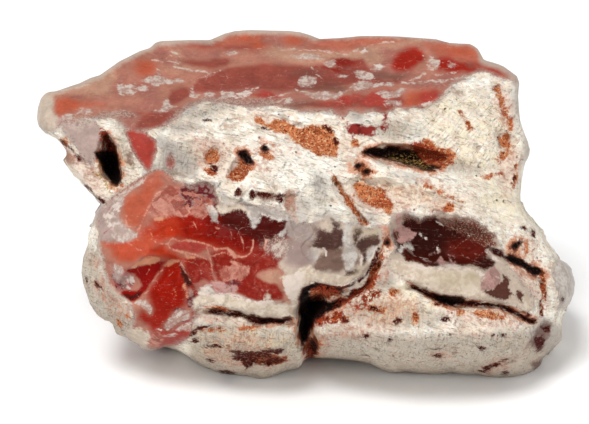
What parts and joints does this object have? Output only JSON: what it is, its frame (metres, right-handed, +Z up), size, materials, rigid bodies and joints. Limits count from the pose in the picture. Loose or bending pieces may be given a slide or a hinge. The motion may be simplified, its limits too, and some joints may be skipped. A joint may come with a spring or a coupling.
{
  "type": "rough chalcedony",
  "caption": "Rough lump of chalcedony: broken pink and red translucent faces, chalky white rind with rusty pits and clefts, resting on a flat base.",
  "frame": {"origin": "centre of the bounding box at the ground the stone rests on", "axes": "+X along the length of the stone to the viewer's right, +Y away from the viewer, +Z up"},
  "size_m": [0.0895, 0.051, 0.0493],
  "materials": {
    "chalcedony": "waxy broken faces, chalky rind"
  },
  "bodies": {
    "root": {"chalcedony": "chalcedony"}
  },
  "joints": []
}
